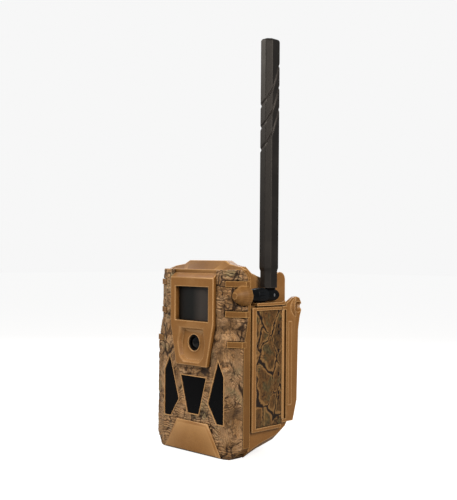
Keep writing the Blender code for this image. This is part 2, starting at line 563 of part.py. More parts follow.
def make_lock_wing():
    face = LATCH_FACE
    inner = HOUSING_HALF + GAP
    front = LATCH_PIN_Y + 2.7
    wing_foot = LATCH_LOW + 4.1
    side = [(front, wing_foot), (TREE_FACE - 10.1, wing_foot), (TREE_FACE - 5.5, 39.0), (TREE_FACE - 4.3, 94.0),
            (TREE_FACE - 2.5, 104.0), (TREE_FACE - 0.4, 110.0), (TREE_FACE - 0.7, 115.0), (TREE_FACE - 3.0, 119.0),
            (TREE_FACE - 7.0, 120.2), (TREE_FACE - 11.0, 119.4), (TREE_FACE - 15.0, 117.0), (front, 115.0)]
    wing = add("lock_wing", prism(side, "X", inner, face), None, (BROWN, 0.55))
    turn = Matrix.Rotation(math.radians(EYE_TURN), 4, "Z")
    eye = rod("Y", (0, 0), EYE_LUG_R, -EYE_THICK / 2, EYE_THICK / 2, 24)
    hole = rod("Y", (0, 0), EYE_R, -20, 20, 20)
    centre = Matrix.Translation((EYE_X, EYE_Y, EYE_Z))
    for shape in (eye, hole):
        bmesh.ops.transform(shape, matrix=centre @ turn, verts=shape.verts)
    join(wing, add("eye_block", eye))
    cut(wing, add("eye_hole", hole))
    cut(wing, add("wing_trim", box((30, inner), (40, HOUSING_BACK + GAP), (0, 150))))
    cut(wing, add("wing_back_trim", box((30, LATCH_FACE + 20), (TREE_FACE - 0.1, TREE_FACE + 20), (0, 150))))
    join(wing, add("side_rib", box((face - 1.5, face + 0.6), (front + 2, front + 6), (36, 101))))
    pin_x = face - LATCH_BARREL_R
    ears = ((wing_foot, wing_foot + PIN_EAR - 0.5), (LATCH_HIGH + 0.3 - PIN_EAR, LATCH_HIGH + 0.2))
    for index, heights in enumerate(ears):
        join(wing, add(f"pin_ear_{index}", box((inner, face), (LATCH_PIN_Y - 1.9, front + 0.9), heights)))
    cut(wing, add("ear_bore", rod("Z", (pin_x, LATCH_PIN_Y), LATCH_PIN_R + RUNNING, 20, LATCH_HIGH - 0.8)))
    add("latch_pin", rod("Z", (pin_x, LATCH_PIN_Y), LATCH_PIN_R, wing_foot + 0.4, LATCH_HIGH - 1.2, 12), None,
        ((0.6, 0.6, 0.6), 0.3, 1.0), True)


def make_antenna_rest():
    """The ledge under the antenna's joint and the rounded ear behind it."""
    mid = (HOUSING_BACK - 7.0, ANTENNA_Z + 11.3)
    width = 6.0
    arc = [(mid[0] + width * math.cos(math.pi * k / 8), mid[1] + width * math.sin(math.pi * k / 8)) for k in range(9)]
    foot = ANTENNA_Z - KNUCKLE_R - 1.75
    ear = prism([(mid[0] - width, foot), (mid[0] + width, foot)] + arc, "X",
                NOTCH_X + GAP, ANTENNA_X - BLADE_HALF_X - 2 * GAP)
    rest = add("antenna_rest", ear, None, (BROWN, 0.55))
    back = LATCH_PIN_Y + 1.9
    ledge = [(SEAM + 7, NOTCH_Z + GAP), (back, NOTCH_Z + GAP), (back, foot + 2), (back - 4.8, foot + 1),
             (SEAM + 7, foot + 1)]
    join(rest, add("rest_ledge", prism(ledge, "X", NOTCH_X + GAP + 0.05, HALF_WIDTH + 0.5)))


def make_latch():
    inner = LATCH_FACE - LATCH_THICK
    rear = LATCH_PIN_Y - 2.2
    frame = add("latch_frame", box((inner, LATCH_FACE), (LATCH_FRONT, rear), (LATCH_LOW, LATCH_HIGH)), latch_hinge,
                (BROWN, 0.5))
    edge = frame.modifiers.new("edge", "BEVEL")
    edge.width = 0.6 * MM
    edge.segments = 1
    pin = (LATCH_FACE - LATCH_BARREL_R, LATCH_PIN_Y)
    barrel = (LATCH_LOW + 3.9 + PIN_EAR, LATCH_HIGH - PIN_EAR)
    join(frame, add("latch_barrel", rod("Z", pin, LATCH_BARREL_R, *barrel, 16)),
         add("latch_web", box((inner + 0.2, LATCH_FACE - 0.2), (rear - 1, LATCH_PIN_Y), barrel)))
    cut(frame, add("latch_bore", rod("Z", pin, LATCH_PIN_R + RUNNING, 0, 150, 16)))
    for index, (low, high) in enumerate(((LATCH_LOW - 1, barrel[0]), (barrel[1], LATCH_HIGH + 1))):
        relief = box((inner - 1, LATCH_FACE + 1), (rear - 0.7, rear + 5), (low, high))
        cut(frame, add(f"latch_relief_{index}", relief))
    panel_y = (LATCH_FRONT + LATCH_RIM, rear)
    panel_z = (LATCH_LOW + 3, LATCH_HIGH - 2.4)
    cut(frame, add("panel_seat", box((LATCH_FACE - 1.3, LATCH_FACE + 1), (panel_y[0], rear + 0.1), panel_z)))
    panel = add("latch_panel", box((LATCH_FACE - 1.0, LATCH_FACE + 0.1), (panel_y[0] + GAP, panel_y[1] - GAP),
                                   (panel_z[0] + GAP, panel_z[1] - GAP)), latch_hinge, ((0.2, 0.14, 0.08), 0.7))
    for index, height in enumerate((110, 98, 93, 79, 61, 47, 43, 28)):
        y = panel_y[1] - 1.9
        dot = box((LATCH_FACE - 0.4, LATCH_FACE + 1), (y - 0.5, y + 0.5), (height - 1, height + 1))
        cut(panel, add(f"dot_{index}", dot))
    add("latch_peg", box((HOUSING_HALF - 3, inner - GAP), PEG, PEG_Z), latch_hinge, ((0.25, 0.12, 0.04), 0.5))


def make_tree_bracket():
    back = HOUSING_BACK + GAP
    plate = add("tree_bracket", box((-PLATE_HALF, PLATE_HALF), (TREE_FACE - 3.2, TREE_FACE), PLATE_Z), None,
                (DARK, 0.6))
    edge = plate.modifiers.new("edge", "BEVEL")
    edge.width = 0.8 * MM
    edge.segments = 1
    join(plate, add("plate_core", box((-10, 10), (back, TREE_FACE - 2), (PLATE_MID - 36, PLATE_MID + 30))))
    for side in (-1, 1):
        mid = side * STRAP_SLOT_X
        cut(plate, add(f"strap_slot_{side}", box((mid - STRAP_SLOT_HALF[0], mid + STRAP_SLOT_HALF[0]),
                                                 (back - 6, TREE_FACE + 10),
                                                 (PLATE_MID - STRAP_SLOT_HALF[1], PLATE_MID + STRAP_SLOT_HALF[1]))))
    seat = TREE_FACE - 4.0
    for name, height in zip(("bracket_screw_low", "bracket_screw_high"), BRACKET_SCREWS):
        hole = [(1.9, back - 6), (1.9, seat), (3.4, seat + 0.1), (3.4, TREE_FACE + 5)]
        cut(plate, add(f"{name}_seat", turned("Y", (0, height), hole, 12)))
        screw = [(1.5, back + GAP), (1.5, seat + 0.3), (3.0, seat + 0.5), (3.0, seat + 2.6), (2.4, seat + 3.0)]
        add(name, turned("Y", (0, height), screw, 12), None, ((0.5, 0.5, 0.5), 0.35, 1.0), True)


def make_antenna():
    centre = (ANTENNA_X, ANTENNA_Z)
    tip = TILT_Y + KNUCKLE_R
    knuckle = add("antenna_knuckle", turned("Y", centre, [
        (KNUCKLE_R - 0.5, BOSS_END + GAP), (KNUCKLE_R, BOSS_END + 0.9), (KNUCKLE_R, tip)], 24),
        antenna_turn, (DARK, 0.45), True)
    back_round = [(BOSS_END, ANTENNA_Z - 8), (TILT_Y, ANTENNA_Z - 8)]
    for index in range(13):
        angle = math.radians(-90 + 15 * index)
        back_round.append((TILT_Y + KNUCKLE_R * math.cos(angle), ANTENNA_Z + KNUCKLE_R * math.sin(angle)))
    back_round += [(TILT_Y, ANTENNA_Z + 8), (BOSS_END, ANTENNA_Z + 8)]
    keep(knuckle, add("knuckle_side", prism(back_round, "X", ANTENNA_X - 10, ANTENNA_X + 10)))
    slot = TANG_HALF + GAP
    across = (ANTENNA_X - 10, ANTENNA_X + 10)
    cut(knuckle, add("tang_slot", box((ANTENNA_X - slot, ANTENNA_X + slot), (TILT_Y - 6.2, TILT_Y + 20),
                                      (ANTENNA_Z - 12, ANTENNA_Z + 18))))
    cut(knuckle, add("connector_socket", rod("Y", centre, CONNECTOR_R - 0.4, 0, BOSS_END + 5)))
    cut(knuckle, add("tilt_bore", rod("X", (TILT_Y, ANTENNA_Z), TILT_PIN_R + RUNNING, *across)))
    plug = [(CONNECTOR_R, BOSS_END - 7), (CONNECTOR_R, BOSS_END - 0.4), (CONNECTOR_R - 0.8, BOSS_END - 0.3),
            (CONNECTOR_R - 0.8, BOSS_END + 4)]
    add("antenna_connector", turned("Y", centre, plug),
        front_hinge, ((0.7, 0.55, 0.2), 0.3, 1.0), True)
    add("tilt_pin", rod("X", (TILT_Y, ANTENNA_Z), TILT_PIN_R, ANTENNA_X - 4.4, ANTENNA_X + 4.4), antenna_turn,
        ((0.3, 0.3, 0.3), 0.4, 1.0), True)
    mid = (BLADE_FRONT + BLADE_BACK) / 2
    depth = (BLADE_BACK - BLADE_FRONT) / 2

    def section(height, half_x, half_y, corner):
        bevel = BLADE_BEVEL * half_x / BLADE_HALF_X
        points = [(half_x, half_y - corner), (half_x - corner, half_y), (-half_x + corner, half_y),
                  (-half_x, half_y - corner), (-half_x, -half_y + corner), (-half_x + corner, -half_y),
                  (half_x - bevel, -half_y), (half_x, -half_y + bevel)]
        return [(ANTENNA_X + x, mid + y, height) for x, y in points]

    neck = ANTENNA_Z + KNUCKLE_R + 0.5
    blade = loft([section(neck, BLADE_HALF_X - 0.4, depth - 0.7, 0.5),
                  section(BLADE_START - 2, BLADE_HALF_X - 0.5, depth - 0.7, 0.5),
                  section(BLADE_START, BLADE_HALF_X, depth, 0.6), section(BLADE_TOP - 2, BLADE_HALF_X, depth, 0.6),
                  section(BLADE_TOP, BLADE_HALF_X - 1.2, depth - 1.2, 0.5)])
    antenna = add("antenna_blade", blade, antenna_tilt, (DARK, 0.5))
    tang = [(TILT_Y - 4.4, neck + 3), (TILT_Y - 4.4, ANTENNA_Z)]
    for index in range(1, 12):
        angle = math.radians(180 + 15 * index)
        tang.append((TILT_Y + 4.4 * math.cos(angle), ANTENNA_Z + 4.4 * math.sin(angle)))
    tang += [(TILT_Y + 3.0, ANTENNA_Z + 1), (TILT_Y + 3.0, neck + 3)]
    join(antenna, add("tang_block", prism(tang, "X", ANTENNA_X - TANG_HALF, ANTENNA_X + TANG_HALF)))
    cut(antenna, add("tang_bore", rod("X", (TILT_Y, ANTENNA_Z), TILT_PIN_R + RUNNING, *across)))


make_front_shell()
make_bark_cover()
make_bezel()
make_front_pieces()
make_inner_panel()
make_rear_housing()
make_rear_pieces()
make_lock_wing()
make_antenna_rest()
make_latch()
make_tree_bracket()
make_antenna()

# The whole camera is placed so that the middle of the face on the tree is the origin.
frame_origin.location = (0.0, -TREE_FACE * MM, -PLATE_MID * MM)
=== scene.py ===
import json
import math

import bmesh
import bpy
import numpy as np
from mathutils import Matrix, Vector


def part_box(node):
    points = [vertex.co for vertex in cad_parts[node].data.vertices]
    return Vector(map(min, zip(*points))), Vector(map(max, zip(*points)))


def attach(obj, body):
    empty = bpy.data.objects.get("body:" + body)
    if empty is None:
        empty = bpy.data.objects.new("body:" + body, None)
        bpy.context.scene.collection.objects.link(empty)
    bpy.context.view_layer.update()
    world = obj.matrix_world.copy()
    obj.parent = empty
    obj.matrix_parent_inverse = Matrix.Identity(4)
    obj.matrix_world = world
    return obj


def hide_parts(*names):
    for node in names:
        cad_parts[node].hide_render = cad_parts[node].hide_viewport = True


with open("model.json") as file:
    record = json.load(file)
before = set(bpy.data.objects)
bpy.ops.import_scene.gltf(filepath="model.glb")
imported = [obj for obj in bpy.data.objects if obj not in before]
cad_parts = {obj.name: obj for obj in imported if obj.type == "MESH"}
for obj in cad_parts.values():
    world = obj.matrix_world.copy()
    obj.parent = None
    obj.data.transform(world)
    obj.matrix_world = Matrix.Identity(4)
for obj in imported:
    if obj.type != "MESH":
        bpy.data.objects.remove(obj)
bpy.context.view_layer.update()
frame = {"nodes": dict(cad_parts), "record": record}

nodes = frame["nodes"]
mm = 0.001
foot = float(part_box("bark_cover")[0][2])        # the cover's foot
face = float(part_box("bezel")[0][1])             # the bezel's face is the front of the camera
print("frame loaded")


# Millimetres across, behind the bezel's face and above the foot, to metres in the frame.
def place(x, depth, height):
    return (x * mm, face + depth * mm, foot + height * mm)


view = {"across": 478.2, "depth": -440.7, "height": 150.7, "turn": 44.83, "tip": -0.48, "roll": 0.47,
        "lens": 60.72, "sensor": 36.0}


# The lens stands where the turn, tip and roll put it.
def makeCamera():
    turn, tip, roll = (math.radians(view[key]) for key in ("turn", "tip", "roll"))
    back = np.array([math.sin(turn) * math.cos(tip), -math.cos(turn) * math.cos(tip), math.sin(tip)])
    right = np.array([math.cos(turn), math.sin(turn), 0.0])
    up = np.cross(back, right)
    data = bpy.data.cameras.new("camera")
    data.lens = view["lens"]
    data.sensor_width = view["sensor"]
    camera = bpy.data.objects.new("camera", data)
    bpy.context.collection.objects.link(camera)
    spot = place(view["across"], view["depth"], view["height"])
    matrix = np.eye(4)
    matrix[:3, 0] = right * math.cos(roll) + up * math.sin(roll)
    matrix[:3, 1] = up * math.cos(roll) - right * math.sin(roll)
    matrix[:3, 2] = back
    matrix[:3, 3] = spot
    camera.matrix_world = matrix.T.tolist()
    bpy.context.scene.camera = camera


studio = {"floor": 6.0, "floorColour": "B8B8B7", "glow": 0.80, "world": 0.30, "seen": 0.93,
          "lamps": {"key": ((-300, -400, 560), 0.35, 3.15, "FFF4E6"),
                    "side": ((560, -160, 420), 0.4, 2.9, "FFF0E0"),
                    "back": ((-420, 420, 520), 0.6, 2.2, "F2F6FF")}}


# sRGB hex code to linear colour: a dark part is divided by 12.92, and any other is (part + 0.055) /
# 1.055 to the power 2.4.
def linear(code, alpha=1.0):
    parts = np.array([int(code[k:k + 2], 16) for k in (0, 2, 4)]) / 255.0
    flat = np.where(parts <= 0.04045, parts / 12.92, ((parts + 0.055) / 1.055) ** 2.4)
    return (*[float(p) for p in flat], alpha)


# One node with its settings; links gives an input's name or number and what feeds it.
def addNode(tree, kind, links=None, **settings):
    node = tree.nodes.new(kind)
    for key, value in settings.items():
        if hasattr(node, key):
            setattr(node, key, value)
        else:
            node.inputs[key.replace("_", " ")].default_value = value
    for key, source in (links or {}).items():
        if isinstance(source, tuple):
            tree.links.new(source[0].outputs[source[1]], node.inputs[key])
        else:
            tree.links.new(source.outputs[0], node.inputs[key])
    return node


# A pale floor, an even backdrop and three soft disks of light.
def makeStudio():
    size = studio["floor"]
    mesh = bpy.data.meshes.new("floor")
    mesh.from_pydata([(-size, -size, foot), (size, -size, foot), (size, size, foot), (-size, size, foot)],
                     [], [(0, 1, 2, 3)])
    floor = bpy.data.objects.new("floor", mesh)
    bpy.context.collection.objects.link(floor)
    paint = bpy.data.materials.new("pale_floor")
    paint.use_nodes = True
    shader = paint.node_tree.nodes["Principled BSDF"]
    shader.inputs["Base Color"].default_value = linear(studio["floorColour"])
    shader.inputs["Roughness"].default_value = 0.9
    shader.inputs["Specular IOR Level"].default_value = 0.0
    # A seamless studio sweep: the floor is lifted to the backdrop's tone where the camera sees it.
    ray = addNode(paint.node_tree, "ShaderNodeLightPath")
    glow = addNode(paint.node_tree, "ShaderNodeMath", {0: (ray, "Is Camera Ray")}, operation="MULTIPLY")
    glow.inputs[1].default_value = studio["glow"]
    shader.inputs["Emission Color"].default_value = (1, 1, 1, 1)
    paint.node_tree.links.new(glow.outputs[0], shader.inputs["Emission Strength"])
    mesh.materials.append(paint)
    world = bpy.data.worlds.new("studio")
    bpy.context.scene.world = world
    world.use_nodes = True
    sky = world.node_tree.nodes["Background"]
    sky.inputs["Color"].default_value = (1, 1, 1, 1)
    sky.inputs["Strength"].default_value = studio["world"]
    # The backdrop is seen brighter than it lights the camera.
    seen = addNode(world.node_tree, "ShaderNodeBackground", Strength=studio["seen"])
    seen.inputs["Color"].default_value = (1, 1, 1, 1)
    ray = addNode(world.node_tree, "ShaderNodeLightPath")
    pick = addNode(world.node_tree, "ShaderNodeMixShader", {0: (ray, "Is Camera Ray"), 1: sky, 2: seen})
    world.node_tree.links.new(pick.outputs[0], world.node_tree.nodes["World Output"].inputs["Surface"])
    target = np.array(place(10, 30, 120))
    for name, (spot, size, power, colour) in studio["lamps"].items():
        data = bpy.data.lights.new(name, "AREA")
        data.shape = "DISK"
        data.size = size
        data.energy = power
        data.color = linear(colour)[:3]
        lamp = bpy.data.objects.new(name, data)
        bpy.context.collection.objects.link(lamp)
        lamp.location = place(*spot)
        away = np.array(lamp.location) - target
        away /= np.linalg.norm(away)
        side = np.cross([0, 0, 1], away)
        side /= np.linalg.norm(side)
        matrix = np.eye(4)
        matrix[:3, :3] = np.stack([side, np.cross(away, side), away], axis=1)
        matrix[:3, 3] = place(*spot)
        lamp.matrix_world = matrix.T.tolist()
    bpy.context.scene.view_settings.view_transform = "Standard"


makeCamera()
makeStudio()
print("camera and studio ready")


# A new node material, its tree and its shader.
def newMaterial(name):
    paint = bpy.data.materials.new(name)
    paint.use_nodes = True
    return paint, paint.node_tree, paint.node_tree.nodes["Principled BSDF"]


# Colours at positions from 0 to 1, given as hex codes.
def addRamp(tree, source, stops):
    ramp = addNode(tree, "ShaderNodeValToRGB", {"Fac": source})
    bar = ramp.color_ramp
    while len(bar.elements) < len(stops):
        bar.elements.new(0.5)
    for element, (position, code) in zip(bar.elements, stops):
        element.position = position
        element.color = linear(code)
    return ramp


# A colour mix. A hex code or a node feeds each side.
def mixColour(tree, amount, low, high, blend="MIX"):
    mix = tree.nodes.new("ShaderNodeMix")
    mix.data_type = "RGBA"
    mix.blend_type = blend
    for socket, source in ((0, amount), (6, low), (7, high)):
        if isinstance(source, str):
            mix.inputs[socket].default_value = linear(source)
        elif isinstance(source, (int, float)):
            mix.inputs[socket].default_value = source
        elif isinstance(source, tuple):
            tree.links.new(source[0].outputs[source[1]], mix.inputs[socket])
        else:
            tree.links.new(source.outputs[0], mix.inputs[socket])
    return (mix, 2)


# Object coordinates in metres, stretched.
def objectPlace(tree, stretch=(1, 1, 1)):
    spot = addNode(tree, "ShaderNodeTexCoord")
    return addNode(tree, "ShaderNodeMapping", {"Vector": (spot, "Object")}, Scale=stretch)


# How sharp the surface is under each point, from 0 on a flat face to 1 on an edge: one less the dot
# product of the face's direction with its direction rounded over a small radius.
def sharpness(tree, radius, full):
    rounded = addNode(tree, "ShaderNodeBevel", Radius=radius * mm, samples=6)
    true = addNode(tree, "ShaderNodeNewGeometry")
    dot = addNode(tree, "ShaderNodeVectorMath", {0: rounded, 1: (true, "True Normal")},
                  operation="DOT_PRODUCT")
    edge = addNode(tree, "ShaderNodeMapRange", {"Value": (dot, "Value")})
    for key, value in (("From Min", 1.0), ("From Max", full), ("To Min", 0.0), ("To Max", 1.0)):
        edge.inputs[key].default_value = value
    return edge


# Ambient occlusion for painted shade: 1 in the open, less in a corner within a reach.
def cornerShade(tree, reach):
    return addNode(tree, "ShaderNodeAmbientOcclusion", Distance=reach * mm, samples=6)


# Moulded ABS: an even colour with a slight flow of lighter and darker tone, a fine spark-eroded
# grain, a painted highlight that lightens the edges, and painted shade that darkens the corners.
def mouldedPlastic(name, base, light, dark, rough=0.5, grain=0.35, bump=0.18, edgeHighlight=0.35,
                   gloss=0.35, flow=0.45):
    paint, tree, shader = newMaterial(name)
    spot = objectPlace(tree)
    cloud = addNode(tree, "ShaderNodeTexNoise", {"Vector": spot}, Scale=45.0, Detail=4.0, Roughness=0.6)
    tone = addRamp(tree, cloud, [(0.30, dark), (0.5, base), (0.72, light)])
    even = mixColour(tree, flow, base, (tone, 0))
    shader.inputs["Specular IOR Level"].default_value = gloss
    fleck = addNode(tree, "ShaderNodeTexNoise", {"Vector": spot}, Scale=1 / (grain * 2 * mm), Detail=3.0)
    fleckTone = addRamp(tree, fleck, [(0.35, "B8B8B8"), (0.65, "FFFFFF")])
    colour = mixColour(tree, 0.4, even, (fleckTone, 0), "MULTIPLY")
    # Painted highlight: near every edge the colour is mixed toward the light colour, standing in for light
    # catching the edge.
    amount = addNode(tree, "ShaderNodeMath", {0: sharpness(tree, 1.0, 0.93)}, operation="MULTIPLY")
    amount.inputs[1].default_value = edgeHighlight
    colour = mixColour(tree, amount, colour, light)
    # Painted shade: corners and recesses within 5 mm are darkened toward a dark brown.
    corner = addRamp(tree, (cornerShade(tree, 5.0), "AO"), [(0.25, "4A4038"), (0.8, "FFFFFF")])
    colour = mixColour(tree, 0.8, colour, (corner, 0), "MULTIPLY")
    tree.links.new(colour[0].outputs[2], shader.inputs["Base Color"])
    roughness = addNode(tree, "ShaderNodeMapRange", {"Value": cloud})
    roughness.inputs["To Min"].default_value = rough - 0.08
    roughness.inputs["To Max"].default_value = rough + 0.1
    tree.links.new(roughness.outputs[0], shader.inputs["Roughness"])
    lift = addNode(tree, "ShaderNodeBump", {"Height": fleck}, Strength=bump, Distance=0.0001)
    tree.links.new(lift.outputs[0], shader.inputs["Normal"])
    return paint


# Polycarbonate with moulded bark, printed with camouflage: tan fibres between dark furrows, with
# patches of grey-green. The furrow and ridge attributes follow the relief; grain is fine fibres
# that run along the grain's own drawn-out coordinates.
def barkPaint():
    paint, tree, shader = newMaterial("bark_camouflage_polycarbonate")
    spot = objectPlace(tree)
    furrow = addNode(tree, "ShaderNodeAttribute", attribute_name="furrow")
    ridge = addNode(tree, "ShaderNodeAttribute", attribute_name="ridge")
    along = addNode(tree, "ShaderNodeAttribute", attribute_name="grain")
    patch = addNode(tree, "ShaderNodeTexNoise", {"Vector": spot}, Scale=62.0, Detail=5.0, Roughness=0.62)
    base = addRamp(tree, patch, [(0.28, "86663F"), (0.42, "AE8A60"), (0.54, "C8A47C"), (0.66, "A49672"),
                                 (0.78, "D8B488")])
    grain = addNode(tree, "ShaderNodeTexNoise", {"Vector": (along, "Vector")}, Scale=0.34, Detail=3.0,
                    Roughness=0.55)
    # Bands of the noise's value become lines, like the growth lines of weathered wood.
    fibre = addRamp(tree, grain, [(0.30, "6A5640"), (0.36, "FFFFFF"), (0.41, "3A2818"), (0.435, "E8D8C4"),
                                  (0.485, "FFFFFF"), (0.505, "30200F"), (0.525, "D8C4AC"), (0.57, "FFFFFF"),
                                  (0.595, "3A2818"), (0.62, "FFFFFF"), (0.67, "6A5640")])
    colour = mixColour(tree, 0.75, (base, 0), (fibre, 0), "MULTIPLY")
    # Wavy growth lines: a band every few millimetres along the grain, strongly distorted and broken
    # up where slow noise is low.
    line = addNode(tree, "ShaderNodeTexWave", {"Vector": (along, "Vector")}, wave_type="BANDS",
                   bands_direction="Z", Scale=0.15, Distortion=7.0, Detail=4.0, Detail_Scale=0.8,
                   Detail_Roughness=0.6)
    mark = addRamp(tree, (line, "Fac"), [(0.0, "34230F"), (0.09, "5C4630"), (0.20, "F4E8D8"),
                                         (0.6, "FFFFFF")])
    gate = addNode(tree, "ShaderNodeTexNoise", {"Vector": spot}, Scale=110.0, Detail=2.0)
    strength = addRamp(tree, gate, [(0.34, "202020"), (0.56, "E0E0E0")])
    colour = mixColour(tree, (strength, 0), colour, mixColour(tree, 1.0, colour, (mark, 0), "MULTIPLY"))
    # Painted highlight: the raised ridges of the relief are lightened toward pale tan.
    high = addNode(tree, "ShaderNodeMapRange", {"Value": (ridge, "Fac")})
    high.inputs["From Min"].default_value = 0.55
    high.inputs["To Max"].default_value = 0.6
    colour = mixColour(tree, high, colour, "C8A47A")
    colour = mixColour(tree, (furrow, "Fac"), colour, "2A1A0E")
    # Painted shade: hollows of the relief within 2.5 mm are darkened toward a dark brown.
    corner = addRamp(tree, (cornerShade(tree, 2.5), "AO"), [(0.3, "3A2E24"), (0.8, "FFFFFF")])
    colour = mixColour(tree, 0.5, colour, (corner, 0), "MULTIPLY")
    tree.links.new(colour[0].outputs[2], shader.inputs["Base Color"])
    shader.inputs["Roughness"].default_value = 0.62
    shader.inputs["Specular IOR Level"].default_value = 0.3
    lift = addNode(tree, "ShaderNodeBump", {"Height": (line, "Fac")}, Strength=0.6, Distance=0.0005)
    tree.links.new(lift.outputs[0], shader.inputs["Normal"])
    return paint


# Smooth ABS under a printed film: tan and grey-green bark with near-black cracks and hair lines.
def printedCamouflage():
    paint, tree, shader = newMaterial("printed_camouflage_film")
    spot = objectPlace(tree, (1, 1, 0.6))
    crack = addNode(tree, "ShaderNodeAttribute", attribute_name="crack")
    edge = addNode(tree, "ShaderNodeAttribute", attribute_name="edge")
    patch = addNode(tree, "ShaderNodeTexNoise", {"Vector": spot}, Scale=85.0, Detail=5.0, Roughness=0.62)
    base = addRamp(tree, patch, [(0.30, "40301A"), (0.40, "5E4828"), (0.50, "7C5A30"), (0.60, "60583A"),
                                 (0.72, "90703E")])
    grain = addNode(tree, "ShaderNodeTexNoise", {"Vector": spot}, Scale=750.0, Detail=5.0, Roughness=0.7)
    fibre = addRamp(tree, grain, [(0.34, "5E4C3A"), (0.48, "C8B8A4"), (0.62, "FFFFFF")])
    colour = mixColour(tree, 0.8, (base, 0), (fibre, 0), "MULTIPLY")
    colour = mixColour(tree, (edge, "Fac"), colour, "AD8450")
    colour = mixColour(tree, (crack, "Fac"), colour, "1E120A")
    tree.links.new(colour[0].outputs[2], shader.inputs["Base Color"])
    shader.inputs["Roughness"].default_value = 0.5
    shader.inputs["Specular IOR Level"].default_value = 0.3
    lift = addNode(tree, "ShaderNodeBump", {"Height": grain}, Strength=0.25, Distance=0.00015)
    tree.links.new(lift.outputs[0], shader.inputs["Normal"])
    return paint


# Infrared-passing film or polycarbonate: near black, smooth, with a faint blue or brown depth.
def darkFilm(name, low, high, rough, grooves=0.0, gloss=0.2):
    paint, tree, shader = newMaterial(name)
    spot = objectPlace(tree)
    if grooves:
        # The sheet's tone runs from low to high across it, lighter towards +X.
        axes = addNode(tree, "ShaderNodeSeparateXYZ", {"Vector": spot})
        cloud = addNode(tree, "ShaderNodeMapRange", {"Value": (axes, "X")})
        cloud.inputs["From Min"].default_value = -0.012
        cloud.inputs["From Max"].default_value = 0.018
    else:
        cloud = addNode(tree, "ShaderNodeTexNoise", {"Vector": spot}, Scale=60.0, Detail=2.0)
    tone = addRamp(tree, cloud, [(0.35, low), (0.65, high)])
    tree.links.new(tone.outputs[0], shader.inputs["Base Color"])
    shader.inputs["Roughness"].default_value = rough
    shader.inputs["Specular IOR Level"].default_value = gloss
    if grooves:
        line = addNode(tree, "ShaderNodeTexWave", {"Vector": spot}, wave_type="BANDS", bands_direction="Z",
                       Scale=2 * math.pi / (20 * grooves * mm))
        lift = addNode(tree, "ShaderNodeBump", {"Height": (line, 1)}, Strength=0.3, Distance=0.0002)
        tree.links.new(lift.outputs[0], shader.inputs["Normal"])
    return paint


# Plated or turned metal with fine scratches that vary its gloss.
def metal(name, colour, rough):
    paint, tree, shader = newMaterial(name)
    spot = objectPlace(tree, (1, 1, 12))
    scratch = addNode(tree, "ShaderNodeTexNoise", {"Vector": spot}, Scale=700.0, Detail=3.0)
    gloss = addNode(tree, "ShaderNodeMapRange", {"Value": scratch})
    gloss.inputs["To Min"].default_value = rough - 0.1
    gloss.inputs["To Max"].default_value = rough + 0.15
    tree.links.new(gloss.outputs[0], shader.inputs["Roughness"])
    shader.inputs["Base Color"].default_value = linear(colour)
    shader.inputs["Metallic"].default_value = 1.0
    return paint


# Glass-epoxy board under green solder mask: fine tracks show as a lighter grid.
def circuitBoard():
    paint, tree, shader = newMaterial("green_solder_mask")
    spot = objectPlace(tree)
    track = addNode(tree, "ShaderNodeTexBrick", {"Vector": spot}, Scale=180.0)
    track.inputs["Color1"].default_value = linear("0F4A2A")
    track.inputs["Color2"].default_value = linear("135A33")
    track.inputs["Mortar"].default_value = linear("2A7A4A")
    tree.links.new(track.outputs[0], shader.inputs["Base Color"])
    shader.inputs["Roughness"].default_value = 0.4
    return paint


